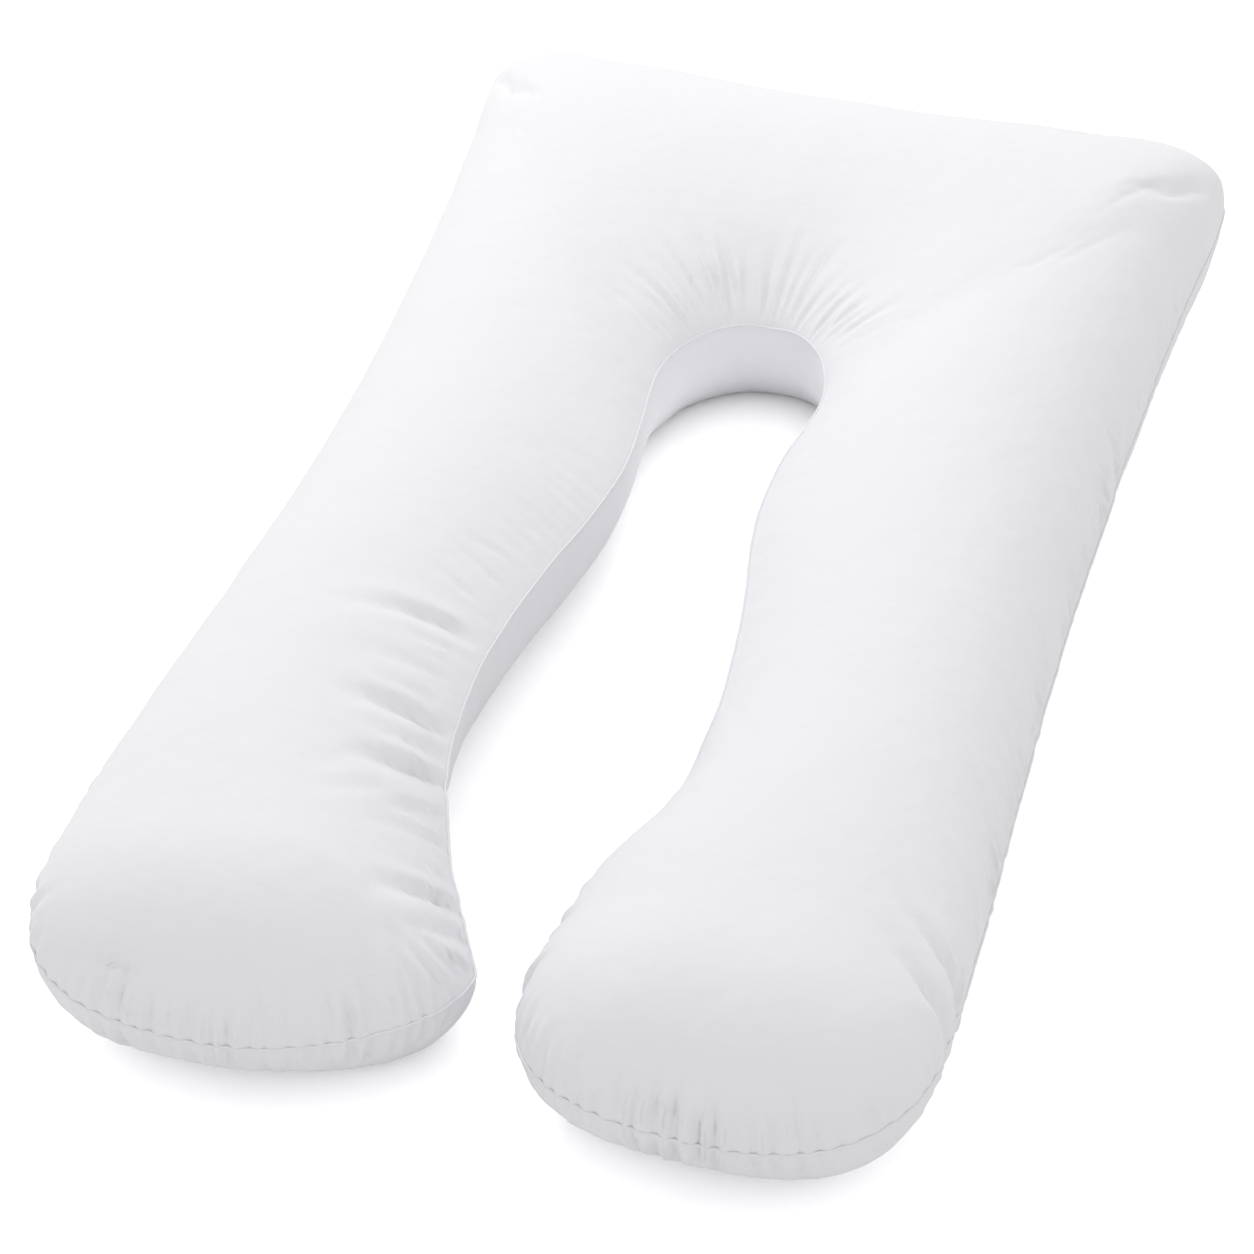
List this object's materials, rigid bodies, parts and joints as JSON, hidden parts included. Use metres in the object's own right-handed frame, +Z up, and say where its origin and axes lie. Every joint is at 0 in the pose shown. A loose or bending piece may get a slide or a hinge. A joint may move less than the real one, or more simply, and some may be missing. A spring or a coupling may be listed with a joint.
{
  "type": "pregnancy pillow",
  "caption": "White U-shaped filled body pillow with a squared head bar, a keyhole gap and broad rounded feet, two cotton panels joined by one rim seam.",
  "frame": {"origin": "on the surface the pillow lies on, under the middle of its length and width", "axes": "+Y towards the head bar, +X towards the leg on the right, +Z up out of the upper panel"},
  "size_m": [0.8022, 1.457, 0.2103],
  "materials": {
    "white_cotton": "smooth matt cotton with a faint sheen"
  },
  "bodies": {
    "root": {"pillow": "white_cotton"}
  },
  "joints": []
}
